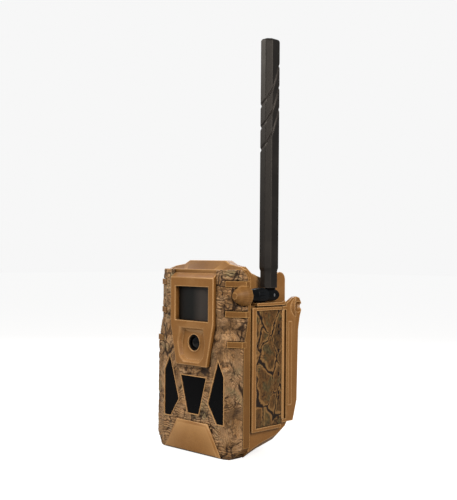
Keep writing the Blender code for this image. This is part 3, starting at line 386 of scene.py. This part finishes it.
# Moulded browns: the case and bezel; a darker copy for the inner frame, as painted shade; and a lighter copy for
# the lips, as painted highlight.
brownPlastics = {
    "brown": mouldedPlastic("brown_moulded_abs", "966935", "E4B880", "7C5528", rough=0.44, edgeHighlight=0.85,
                            flow=0.12),
    # A darker copy of the brown: painted shade on the front shell's flange.
    "flange": mouldedPlastic("brown_moulded_abs_shaded", "805827", "D2A468", "68461C", edgeHighlight=0.8,
                             flow=0.12),
    # A lighter copy of the brown: painted highlight on the raised lips.
    "rim": mouldedPlastic("brown_moulded_abs_painted_highlight", "C09058", "ECC490", "A07340", rough=0.4,
                          edgeHighlight=0.5, flow=0.12),
}
finish = {
    **brownPlastics,
    "bark": barkPaint(),
    "print": printedCamouflage(),
    # Glass-filled nylon of the bracket and panel, the antenna's soft sleeve, and acetal of its joint.
    "blackNylon": mouldedPlastic("black_glass_filled_nylon", "1E1C1C", "3A3836", "161515", rough=0.45,
                                 grain=0.3, bump=0.25, edgeHighlight=0.6),
    "antenna": mouldedPlastic("black_antenna_elastomer", "1D1B1A", "4C4846", "151312", rough=0.45,
                              grain=0.3, bump=0.12, edgeHighlight=0.6, gloss=0.32, flow=0.2),
    "knuckle": mouldedPlastic("black_acetal", "05070A", "20242A", "040506", rough=0.4, grain=0.3,
                              bump=0.12, edgeHighlight=0.4, gloss=0.12, flow=0.2),
    # Infrared windows, the ribbed motion lens, coated glass and the display's cover.
    "window": darkFilm("infrared_polycarbonate", "050609", "080A0D", rough=0.25, gloss=0.06),
    "pir": darkFilm("fresnel_polyethylene", "0E1112", "3A3634", rough=0.4, grooves=0.8),
    "glass": darkFilm("coated_lens_glass", "010203", "030406", rough=0.08, gloss=0.3),
    "barrel": mouldedPlastic("black_lens_barrel", "0B0A0A", "151414", "060606", rough=0.6, grain=0.3,
                             bump=0.1, edgeHighlight=0.2, gloss=0.1),
    "screen": darkFilm("display_glass", "0A0C10", "101319", rough=0.08, gloss=0.5),
    # Zinc-plated pins, screws and contacts, and the turned brass of the threaded parts.
    "steel": metal("zinc_plated_steel", "B9BABB", 0.32),
    "brass": metal("turned_brass", "B08D4C", 0.3),
    # The seal, the boards, the shrunk film round each cell, and the switch's cap.
    "rubber": mouldedPlastic("silicone_rubber", "1A1A1A", "2A2A2A", "121212", rough=0.75, grain=0.2,
                             bump=0.1, edgeHighlight=0.1),
    "board": circuitBoard(),
    "cell": mouldedPlastic("cell_wrap_film", "20242C", "3A414E", "171A20", rough=0.25, grain=0.4,
                           bump=0.02, edgeHighlight=0.1),
    "red": mouldedPlastic("red_moulded_abs", "8C2418", "B0493A", "701A10", rough=0.45),
}
nodeFinish = {
    "brown": ["chin_plate", "latch_frame", "latch_peg", "bezel", "antenna_rest", "lock_wing", "rear_housing"],
    "flange": ["front_shell"],
    "barrel": ["lens_barrel"],
    "blackNylon": ["tree_bracket", "battery_tray", "inner_panel", "memory_card", "image_sensor",
                   "button_ok", "button_up", "button_down", "button_left", "button_right"],
    "knuckle": ["antenna_knuckle"],
    "window": ["ir_window_left", "ir_window_middle", "ir_window_right"],
    "glass": ["camera_lens"],
    "screen": ["display"],
    "steel": ["hinge_pin", "latch_pin", "tilt_pin", "pir_sensor", "contact_low", "contact_middle",
              "contact_high", "bracket_screw_low", "bracket_screw_high"]
             + [f"panel_screw_{k}" for k in range(1, 5)],
    "brass": ["tripod_insert", "antenna_connector"],
    "rubber": ["gasket"],
    "board": ["led_board", "main_board"],
    "cell": [f"battery_{k}" for k in range(1, 9)],
    "red": ["power_switch"],
}
for finishName, names in nodeFinish.items():
    for name in names:
        nodes[name].data.materials.clear()
        nodes[name].data.materials.append(finish[finishName])
print("materials ready")


# A repeatable number from 0 to 1 for each row of whole numbers.
def hashed(cells, seed):
    mixed = cells.astype(np.int64) @ np.array([374761393, 668265263, 2147483647], dtype=np.int64)
    mixed = (mixed + seed * 1274126177) & 0xFFFFFFFF
    mixed = ((mixed ^ (mixed >> 13)) * 1103515245) & 0xFFFFFFFF
    mixed = ((mixed ^ (mixed >> 16)) * 2246822519) & 0xFFFFFFFF
    return ((mixed ^ (mixed >> 15)) & 0xFFFFFF) / float(0x1000000)


# Value noise: hashed numbers at the corners of cells of a size, each weighted across, deep and up
# by 3t^2 - 2t^3 of the place t in the cell.
def softNoise(points, size, seed=0):
    scaled = points / size
    cell = np.floor(scaled)
    part = scaled - cell
    part = part * part * (3 - 2 * part)
    total = np.zeros(len(points))
    for corner in np.ndindex(2, 2, 2):
        weight = np.prod(np.where(np.array(corner), part, 1 - part), axis=1)
        total += weight * hashed(cell + np.array(corner), seed)
    return total


# Noise of halving sizes and strengths added up, divided by the sum of the strengths.
def layeredNoise(points, size, layers=4, seed=0):
    total = sum(softNoise(points, size / 2 ** k, seed + k) / 2 ** k for k in range(layers))
    return total / (2 - 2.0 ** (1 - layers))


# How far each point is from the nearest edge between cells: the distance to the second nearest seed
# less the distance to the nearest, in cell sizes.
def cracks(points, size, seed=0):
    scaled = points / size
    cell = np.floor(scaled)
    first = np.full(len(points), 9.0)
    second = np.full(len(points), 9.0)
    for step in np.ndindex(3, 3, 3):
        near = cell + np.array(step) - 1
        seedSpot = near + np.stack([hashed(near, seed + k) for k in (1, 2, 3)], axis=1)
        away = np.linalg.norm(scaled - seedSpot, axis=1)
        second = np.minimum(second, np.maximum(first, away))
        first = np.minimum(first, away)
    return second - first


# Link a piece, let it ride on its body and stand for its CAD nodes.
def finished(name, mesh, body, slotName, *stands, smooth=True):
    piece = bpy.data.objects.new(name, mesh)
    bpy.context.collection.objects.link(piece)
    if smooth:
        mesh.shade_smooth()
    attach(piece, body)
    if stands:
        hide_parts(*stands)
    return piece


# Faces over a grid of points, rows by columns by three.
def gridMesh(name, points, paint, closeAcross=False, closeAlong=False):
    rows, columns = points.shape[:2]
    index = np.arange(rows * columns).reshape(rows, columns)
    if closeAcross:
        index = np.concatenate([index, index[:, :1]], axis=1)
    if closeAlong:
        index = np.concatenate([index, index[:1]], axis=0)
    faces = np.stack([index[:-1, :-1], index[:-1, 1:], index[1:, 1:], index[1:, :-1]], axis=-1)
    faces = faces.reshape(-1, 4)
    mesh = bpy.data.meshes.new(name)
    mesh.vertices.add(rows * columns)
    mesh.vertices.foreach_set("co", points.reshape(-1).astype(np.float32))
    mesh.loops.add(faces.size)
    mesh.loops.foreach_set("vertex_index", faces.reshape(-1).astype(np.int32))
    mesh.polygons.add(len(faces))
    mesh.polygons.foreach_set("loop_start", np.arange(0, faces.size, 4, dtype=np.int32))
    mesh.update(calc_edges=True)
    mesh.validate()
    mesh.materials.append(paint)
    return mesh


# Turn every face outwards and close the ends that are still open.
def recalculated(mesh):
    work = bmesh.new()
    work.from_mesh(mesh)
    bmesh.ops.remove_doubles(work, verts=work.verts, dist=1e-6)
    bmesh.ops.holes_fill(work, edges=[e for e in work.edges if e.is_boundary], sides=0)
    bmesh.ops.recalc_face_normals(work, faces=work.faces)
    work.to_mesh(mesh)
    work.free()
    return mesh


# A merged copy of a CAD node's mesh with its flat faces whole again.
def copied(node):
    work = bmesh.new()
    work.from_mesh(nodes[node].data)
    bmesh.ops.remove_doubles(work, verts=work.verts, dist=2e-6)
    bmesh.ops.dissolve_limit(work, angle_limit=math.radians(1.0), verts=work.verts, edges=work.edges)
    mesh = bpy.data.meshes.new(node + "_copy")
    work.to_mesh(mesh)
    work.free()
    return mesh


# The mesh rebuilt in even faces, with its edges eased.
def remeshed(mesh, voxel, smoothing=0):
    holder = bpy.data.objects.new("holder", mesh)
    bpy.context.collection.objects.link(holder)
    step = holder.modifiers.new("even", "REMESH")
    step.mode = "VOXEL"
    step.voxel_size = voxel
    if smoothing:
        ease = holder.modifiers.new("ease", "SMOOTH")
        ease.factor = 0.5
        ease.iterations = smoothing
    bpy.context.view_layer.update()
    made = bpy.data.meshes.new_from_object(holder.evaluated_get(bpy.context.evaluated_depsgraph_get()))
    bpy.data.objects.remove(holder)
    return made


# Every corner of a mesh, one row each.
def corners(mesh):
    spots = np.empty(len(mesh.vertices) * 3, np.float32)
    mesh.vertices.foreach_get("co", spots)
    return spots.reshape(-1, 3).astype(float)


# One number on every corner, for the materials to read.
def setAttribute(mesh, name, values):
    layer = mesh.attributes.new(name, "FLOAT", "POINT")
    layer.data.foreach_set("value", values.astype(np.float32))


# Points of the frame in millimetres across, behind the face and above the foot.
def local(points):
    return (points - np.array([0, face, foot])) / mm


# The way back: millimetres to metres in the frame.
def framed(points):
    return points * mm + np.array([0, face, foot])


bark = {"voxel": 0.6, "quickVoxel": 1.2, "relief": 0.8, "cell": 9.5, "fine": 4.2, "line": 0.085, "hair": 0.14,
        "wander": 11.0, "fibreLong": 7.0, "fibreHigh": 1.05}


# The cover's skin, pushed in along thin furrows that wander, and raised along drawn-out fibres.
def makeBarkCover():
    voxel = bark["voxel"]
    mesh = remeshed(copied("bark_cover"), voxel * mm, 1)
    spots = corners(mesh)
    normals = np.empty(len(spots) * 3, np.float32)
    mesh.vertices.foreach_get("normal", normals)
    normals = normals.reshape(-1, 3).astype(float)
    flat = local(spots)
    # The furrows wander: the place they are read at is pushed about by slow noise.
    wander = np.stack([layeredNoise(flat, 10.0, 4, seed) for seed in (11, 23, 37)], axis=1) - 0.5
    pushed = flat + wander * bark["wander"]
    wide = cracks(pushed * np.array([1.0, 1.0, 0.5]), bark["cell"], 5)
    fine = cracks(pushed * np.array([0.75, 0.75, 1.35]), bark["fine"], 9)
    broken = np.clip((layeredNoise(flat, 13, 3, 51) - 0.42) * 8, 0, 1)
    furrow = np.clip(1.35 - wide / bark["line"], 0, 1) * broken
    hair = np.clip(1.2 - fine / bark["hair"], 0, 1)
    hair = hair * np.clip((layeredNoise(flat, 8, 3, 57) - 0.45) * 7, 0, 1)
    # Fibres run mostly across; in places, where slow noise is high, they turn upright.
    upright = np.clip((layeredNoise(flat, 26, 2, 77) - 0.56) * 8, 0, 1)[:, None]
    acrossGrain = np.array([1 / bark["fibreLong"], 1 / bark["fibreLong"], 1 / bark["fibreHigh"]])
    uprightGrain = np.array([1 / bark["fibreHigh"], 1 / bark["fibreHigh"], 1 / bark["fibreLong"]])
    grain = pushed * (acrossGrain * (1 - upright) + uprightGrain * upright)
    fibre = layeredNoise(grain, 2.2, 3, 71)
    knots = layeredNoise(flat, 6.0, 3, 91)
    height = 0.75 * fibre + 0.12 * knots - 0.3 * hair - 0.8 * furrow
    outward = (normals[:, 1] < -0.15) | (np.abs(normals[:, 0]) > 0.75) & (flat[:, 1] < 30)
    faceOut = np.where(outward & (np.abs(normals[:, 2]) < 0.7), 1.0, 0.0)
    outside = (flat[:, 1] < 5.0) | (np.abs(flat[:, 0]) > 33) & (normals[:, 1] < 0.2)
    lift = (height - 0.2) * bark["relief"] * faceOut * outside
    spots += normals * (lift * mm)[:, None]
    reach = local(spots)
    reach[:, 0] = np.clip(reach[:, 0], -47.6, 47.6)
    reach[:, 2] = np.maximum(reach[:, 2], 0.0)
    spots = framed(reach)
    mesh.vertices.foreach_set("co", spots.astype(np.float32).reshape(-1))
    setAttribute(mesh, "furrow", np.clip(furrow + hair * 0.6, 0, 0.95))
    setAttribute(mesh, "ridge", np.clip((height - 0.25) * 2.2, 0, 1))
    layer = mesh.attributes.new("grain", "FLOAT_VECTOR", "POINT")
    layer.data.foreach_set("vector", grain.astype(np.float32).reshape(-1))
    mesh.materials.clear()
    mesh.materials.append(finish["bark"])
    mesh.update()
    return finished("bark_relief", mesh, "front", "bark_plastic", "bark_cover")


latch = {"step": 0.28, "cell": 13.0, "small": 5.5, "line": 0.034, "hair": 0.035,
         "slots": (110, 98, 93, 79, 61, 47, 43, 28), "slotIn": 3.3, "slotWide": 1.0, "slotTall": 1.4,
         "slotDeep": 0.5}


# The printed panel: a fine grid whose cracks are pressed in a little, with a folded rim.
def makeLatchPanel():
    low, high = (local(np.array([corner]))[0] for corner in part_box("latch_panel"))
    step = latch["step"] * 1
    across = np.linspace(low[1], high[1], int((high[1] - low[1]) / step))
    up = np.linspace(low[2], high[2], int((high[2] - low[2]) / step))
    depth, height = np.meshgrid(across, up)
    outer = high[0] - 0.15
    flat = np.stack([np.full(depth.size, 4.0), depth.ravel(), height.ravel()], axis=1)
    wander = np.stack([layeredNoise(flat, 6.0, 4, seed) for seed in (3, 5, 7)], axis=1) - 0.5
    pushed = flat + wander * 7.0
    gap = cracks(pushed * np.array([0.4, 1.0, 0.55]), latch["cell"], 21)
    thin = cracks(pushed * np.array([0.4, 0.7, 1.1]), latch["small"], 27)
    width = latch["line"] * (0.4 + 2.4 * layeredNoise(flat, 11, 3, 31) ** 2)
    crack = np.clip((width * 1.6 - gap) / (width * 0.6), 0, 1)
    hair = np.clip((latch["hair"] * 1.6 - thin) / latch["hair"], 0, 1)
    hair = hair * (layeredNoise(flat, 9, 3, 41) > 0.5)
    crack = np.maximum(crack, hair * 0.7)
    shade = np.clip((width * 4.5 - gap) / width, 0, 1) * (1 - crack) * 0.5
    dots = np.zeros(len(flat))
    for spot in latch["slots"]:
        inside = ((np.abs(flat[:, 1] - (high[1] - latch["slotIn"])) < latch["slotWide"])
                  & (np.abs(flat[:, 2] - spot) < latch["slotTall"]))
        dots = np.maximum(dots, inside)
    relief = outer - 0.22 * crack - latch["slotDeep"] * dots + 0.12 * (layeredNoise(flat, 3.0, 3, 61) - 0.5)
    rim = np.minimum(np.minimum(flat[:, 1] - low[1], high[1] - flat[:, 1]),
                     np.minimum(flat[:, 2] - low[2], high[2] - flat[:, 2]))
    relief = np.where(rim < 1e-6, low[0] + 0.05, relief - 0.25 * np.clip(1 - rim / 0.5, 0, 1))
    points = framed(np.stack([relief, flat[:, 1], flat[:, 2]], axis=1))
    mesh = gridMesh("camouflage_panel", points.reshape(len(up), len(across), 3), finish["print"])
    setAttribute(mesh, "crack", np.maximum(crack, dots))
    setAttribute(mesh, "edge", shade)
    recalculated(mesh)
    return finished("camouflage_panel", mesh, "side_latch", "camo_print", "latch_panel")


blade = {"across": 44.0, "middle": 40.0, "start": 142.6, "top": 318.5, "halfX": 4.5, "halfY": 6.0,
         "bevel": 3.8, "neckLow": 127.55, "neckX": 4.1, "neckY": 5.3, "pitch": 16.8, "first": 299.0, "grooves": 3,
         "notch": 0.8, "notchHigh": 1.9, "ease": 0.45, "shoulderHigh": 2.4, "crownHigh": 2.5, "crownIn": 1.7}
tongue = {"deep": 42, "up": 122, "radius": 4.3, "bore": 1.35, "shoulder": 4.2, "top": 128.0,
          "sides": (42.35, 45.65), "steps": 64}


# The section's outline from the rear right corner forwards and round: corners, each with its own
# small arc.
def bladeSection(halfX, halfY):
    bevel, ease = blade["bevel"], blade["ease"]
    shape = [(halfX, halfY), (halfX, bevel - halfY), (halfX - bevel, -halfY), (-halfX, -halfY),
             (-halfX, halfY)]
    spots = []
    for k, here in enumerate(np.array(shape)):
        before, after = np.array(shape[k - 1]), np.array(shape[(k + 1) % len(shape)])
        start = here + (before - here) / np.linalg.norm(before - here) * ease
        stop = here + (after - here) / np.linalg.norm(after - here) * ease
        # A quadratic curve through the corner: (1-t)^2 start + 2t(1-t) corner + t^2 stop.
        for t in np.linspace(0, 1, 5):
            spots.append((1 - t) ** 2 * start + 2 * t * (1 - t) * here + t * t * stop)
        for t in np.linspace(0, 1, 14)[1:-1]:
            nextStart = after + (here - after) / np.linalg.norm(here - after) * ease
            spots.append(stop + (nextStart - stop) * t)
    return np.array(spots)


# The section carried up the blade. Three slanting notches wrap its right face, bevel and front,
# each lower towards the front left corner.
def makeBlade():
    rows = np.concatenate([np.linspace(blade["neckLow"], blade["start"] - blade["shoulderHigh"], 8),
                           np.linspace(blade["start"] - 2.3, blade["start"], 6),
                           np.linspace(blade["start"] + 1, 220, 30),
                           np.linspace(220.5, 304, 240),
                           np.linspace(306, blade["top"] - blade["crownHigh"], 6),
                           blade["top"] - blade["crownHigh"] * np.cos(np.linspace(0, math.pi / 2, 9)[1:])])
    section = bladeSection(blade["halfX"], blade["halfY"])
    walked = np.concatenate([[0], np.cumsum(np.linalg.norm(np.diff(section, axis=0), axis=1))])
    shrink = np.ones((len(rows), 2))
    neck = np.clip((blade["start"] - rows) / blade["shoulderHigh"], 0, 1)
    shrink[:, 0] -= neck * (1 - blade["neckX"] / blade["halfX"])
    shrink[:, 1] -= neck * (1 - blade["neckY"] / blade["halfY"])
    crown = np.clip((rows - blade["top"] + blade["crownHigh"]) / blade["crownHigh"], 0, 1)
    fall = 1 - np.sqrt(np.clip(1 - crown ** 2, 0, 1))
    shrink[:, 0] -= fall * blade["crownIn"] / blade["halfX"]
    shrink[:, 1] -= fall * blade["crownIn"] / blade["halfY"]
    points = section[None, :, :] * shrink[:, None, :]
    rightFace = 2 * blade["halfY"] - blade["bevel"]
    ridge = rightFace + blade["bevel"] * 1.414
    corner = ridge + 2 * blade["halfX"] - blade["bevel"]
    # How far a notch has fallen at each length walked round from the rear right corner.
    drop = np.interp(walked, [0, rightFace, ridge, corner, corner + 1], [0, 19.5, 28.0, 32.5, 32.5])
    dent = np.zeros((len(rows), len(section)))
    for k in range(blade["grooves"]):
        middle = blade["first"] - k * blade["pitch"] - drop
        dent = np.maximum(dent, np.clip(1 - np.abs(rows[:, None] - middle) / blade["notchHigh"], 0, 1))
    reach = (walked < corner + 0.8) | (walked > walked[-1] - 0.6)
    inward = -section / np.linalg.norm(section, axis=1)[:, None]
    points = points + (dent * reach)[..., None] * inward[None] * blade["notch"]
    height = np.broadcast_to(rows[:, None], dent.shape)
    spots = np.stack([blade["across"] + points[..., 0], blade["middle"] + points[..., 1], height], axis=-1)
    mesh = gridMesh("antenna_blade_skin", framed(spots), finish["antenna"], closeAcross=True)
    recalculated(mesh)
    mesh.set_sharp_from_angle(angle=math.radians(30))
    piece = finished("antenna_blade_skin", mesh, "antenna_arm", "black_plastic", "antenna_blade", smooth=False)
    # The tang in the joint's slot: a rounded plate about the tilt pin.
    turnAngles = np.linspace(0, 2 * math.pi, tongue["steps"], endpoint=False)
    deep, up, radius, bore = (tongue[key] for key in ("deep", "up", "radius", "bore"))
    ring = np.stack([deep + radius * np.cos(turnAngles), up + radius * np.sin(turnAngles)], axis=1)
    rising = (ring[:, 1] > up) & (np.abs(ring[:, 0] - deep) < tongue["shoulder"])
    ring[:, 1] = np.where(rising, tongue["top"], ring[:, 1])
    hole = np.stack([deep + bore * np.cos(turnAngles), up + bore * np.sin(turnAngles)], axis=1)
    left, right = tongue["sides"]
    layers = [(left, ring), (right, ring), (right, hole), (left, hole)]
    tang = np.stack([np.column_stack([np.full(len(shape), side), shape]) for side, shape in layers])
    mesh = gridMesh("antenna_tang", framed(tang), finish["antenna"], closeAcross=True, closeAlong=True)
    recalculated(mesh)
    finished("antenna_tang", mesh, "antenna_arm", "black_plastic", smooth=False)
    return piece


grip = {"across": 44, "up": 122, "low": 24.2, "high": 35.2, "bore": 4.9, "radius": 5.07, "teeth": 14,
        "height": 0.42}


# A band round the joint whose surface is a row of pointed teeth, like a zigzag knurl.
def makeKnuckleGrip():
    depth, angle = np.meshgrid(np.linspace(grip["low"], grip["high"], 60),
                               np.linspace(0, 2 * math.pi, 224, endpoint=False), indexing="ij")
    along = (depth - grip["low"]) / (grip["high"] - grip["low"])
    saw = np.abs((angle / (2 * math.pi) * grip["teeth"]) % 1 - 0.5) * 2
    raised = np.clip((saw - along) * 6, 0, 1)
    fade = np.clip(along * 12, 0, 1) * np.clip((1 - along) * 12, 0, 1)
    radius = grip["radius"] + grip["height"] * raised * fade
    across, up, bore = grip["across"], grip["up"], grip["bore"]
    points = np.stack([across + radius * np.cos(angle), depth, up + radius * np.sin(angle)], axis=-1)
    ends = angle[[-1, 0]]
    inner = np.stack([across + bore * np.cos(ends), depth[[-1, 0]], up + bore * np.sin(ends)], axis=-1)
    points = framed(np.concatenate([points, inner]))
    mesh = gridMesh("knuckle_grip", points, finish["knuckle"], closeAcross=True, closeAlong=True)
    recalculated(mesh)
    return finished("knuckle_grip", mesh, "antenna_base", "black_plastic", smooth=False)


film = {"pitch": 0.8, "groove": 0.07}


# The motion lens: a shallow arch across, ribbed along its height like a Fresnel sheet.
def makePirLens():
    low, high = (local(np.array([corner]))[0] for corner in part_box("pir_lens"))
    half = (high[0] - low[0]) / 2
    x, z = np.meshgrid(np.linspace(-half, half, 61), np.linspace(low[2], high[2], 260))
    tooth = ((z - low[2]) / film["pitch"]) % 1
    arch = low[1] + 0.12 + (high[1] - low[1] - 0.9) * (x / half) ** 2
    y = arch + film["groove"] * tooth
    points = np.stack([x, y, z], axis=-1)
    back = points.copy()
    back[..., 1] = high[1]
    rim = np.concatenate([back[:1], points, back[-1:]])
    side = rim.copy()
    side[..., 1] = high[1]
    rim = np.concatenate([side[:, :1], rim, side[:, -1:]], axis=1)
    mesh = gridMesh("fresnel_sheet", framed(rim), finish["pir"])
    recalculated(mesh)
    return finished("fresnel_sheet", mesh, "front", "pir_film", "pir_lens")


lips = {"right": [(27.2, 72.4), (33.2, 61.1), (33.2, 25.2), (26.0, 25.2), (16.5, 39.4)],
        "middle": [(14.2, 58.3), (6.2, 29.8), (-6.2, 29.8), (-14.2, 58.3)],
        "pir": [(-18.6, 101.3), (-18.6, 127.8), (18.6, 127.8), (18.6, 101.3)],
        "dish": [(12.9, 96.1), (15.4, 84), (13.2, 73.6), (8.7, 69.4), (-8.7, 69.4), (-13.2, 73.6),
                 (-15.4, 84), (-12.9, 96.1)],
        "ring": (84.4, 6.25)}


# A narrow raised lip outside an outline: a half-round profile carried round it with mitred corners.
def makeLip(name, outline, base, width, proud):
    spots = np.array(outline, float)
    before = spots - np.roll(spots, 1, axis=0)
    after = np.roll(spots, -1, axis=0) - spots
    area = np.sum(spots[:, 0] * np.roll(spots[:, 1], -1) - np.roll(spots[:, 0], -1) * spots[:, 1])
    sign = 1.0 if area > 0 else -1.0
    outs = []
    for edge in (before, after):
        edge = edge / np.linalg.norm(edge, axis=1)[:, None]
        outs.append(np.stack([edge[:, 1], -edge[:, 0]], axis=1) * sign)
    both = outs[0] + outs[1]
    mitre = both * (2 / np.sum(both * both, axis=1))[:, None]
    swing = np.linspace(0, math.pi, 9)
    profile = np.stack([width * (1 - np.cos(swing)) / 2 + 0.05, base - proud * np.sin(swing) ** 0.7], axis=1)
    profile = np.concatenate([profile, [[width + 0.05, base + 0.6], [0.05, base + 0.6]]])
    ring = spots[:, None, :] + mitre[:, None, :] * profile[None, :, :1]
    deep = np.broadcast_to(profile[None, :, 1], ring.shape[:2])
    points = np.stack([ring[..., 0], deep, ring[..., 1]], axis=-1)
    mesh = gridMesh(name, framed(points), finish["rim"], closeAcross=True, closeAlong=True)
    recalculated(mesh)
    mesh.shade_smooth()
    mesh.set_sharp_from_angle(angle=math.radians(40))
    finished(name, mesh, "front", "brown_plastic", smooth=False)


# Each outline is in millimetres across and up; base is the depth of the face it stands on.
def makeLips():
    window = {"base": 3.0, "width": 0.7, "proud": 0.5}
    makeLip("window_rim_right", lips["right"], **window)
    makeLip("window_rim_left", [(-x, z) for x, z in lips["right"]], **window)
    makeLip("window_rim_middle", lips["middle"], **window)
    makeLip("motion_window_lip", lips["pir"], base=0.25, width=0.9, proud=0.2)
    makeLip("lens_dish_lip", lips["dish"], base=0.3, width=0.9, proud=0.28)
    middle, radius = lips["ring"]
    swing = np.linspace(0, 2 * math.pi, 48, endpoint=False)
    ring = [(radius * math.cos(a), middle + radius * math.sin(a)) for a in swing]
    makeLip("lens_ring", ring, base=3.6, width=0.7, proud=0.55)


chin = {"bevel": 2.3, "face": 0.6, "edge": 1.7, "back": 2.7, "outline": [(17.2, 24), (31.5, 0.6)]}


# The plate under the windows: its outline at the back and the edge, then the flat face set in by
# the width of a broad bevel.
def makeChinPlate():
    (top, high), (bottom, low) = chin["outline"]
    slope = math.hypot(bottom - top, high - low)
    lean = (bottom - top) / (high - low)
    inset = chin["bevel"]
    side = inset * slope / (high - low)
    inner = [(top + lean * inset - side, high - inset), (bottom - lean * 0.9 - side, low + 0.9)]
    rings = []
    for shape, depth in ((chin["outline"], chin["back"]), (chin["outline"], chin["edge"]),
                         (inner, chin["face"])):
        (a, b), (c, d) = shape
        whole = [(a, b), (c, d), (-c, d), (-a, b)]
        rings.append([(x, depth, z) for x, z in whole])
    points = framed(np.array(rings))
    mesh = gridMesh("chin_plate_bevelled", points, finish["brown"], closeAcross=True)
    recalculated(mesh)
    piece = finished("chin_plate_bevelled", mesh, "front", "brown_plastic", "chin_plate", smooth=False)
    edge = piece.modifiers.new("edge", "BEVEL")
    edge.width = 0.25 * mm
    edge.segments = 2


eased = {"bezel": (0.5, "front"), "front_shell": (0.5, "front"),
         "rear_housing": (0.7, "case"), "lock_wing": (0.6, "case"), "antenna_rest": (0.6, "case"),
         "latch_frame": (0.3, "side_latch"), "tree_bracket": (0.5, "case"),
         "antenna_knuckle": (0.3, "antenna_base")}
sharpAngle = math.radians(28)


# Moulded pieces never have knife edges: each is a copy whose corners are rounded.
def makeEasedPieces():
    slots = {part["node"]: part["material_slot"] for part in frame["record"]["subparts"]}
    for node, (radius, body) in eased.items():
        mesh = copied(node)
        mesh.materials.clear()
        mesh.materials.append(nodes[node].data.materials[0])
        piece = finished(node + "_moulded", mesh, body, slots[node], node)
        mesh.set_sharp_from_angle(angle=sharpAngle)
        edge = piece.modifiers.new("edge", "BEVEL")
        edge.width = radius * mm
        edge.segments = 2
        edge.limit_method = "ANGLE"
        edge.angle_limit = sharpAngle
        edge.harden_normals = False
        print("eased", node)


makeBarkCover()
print("bark cover ready")
makeLatchPanel()
makeBlade()
makeKnuckleGrip()
makePirLens()
makeLips()
makeChinPlate()
makeEasedPieces()
print("pieces ready")
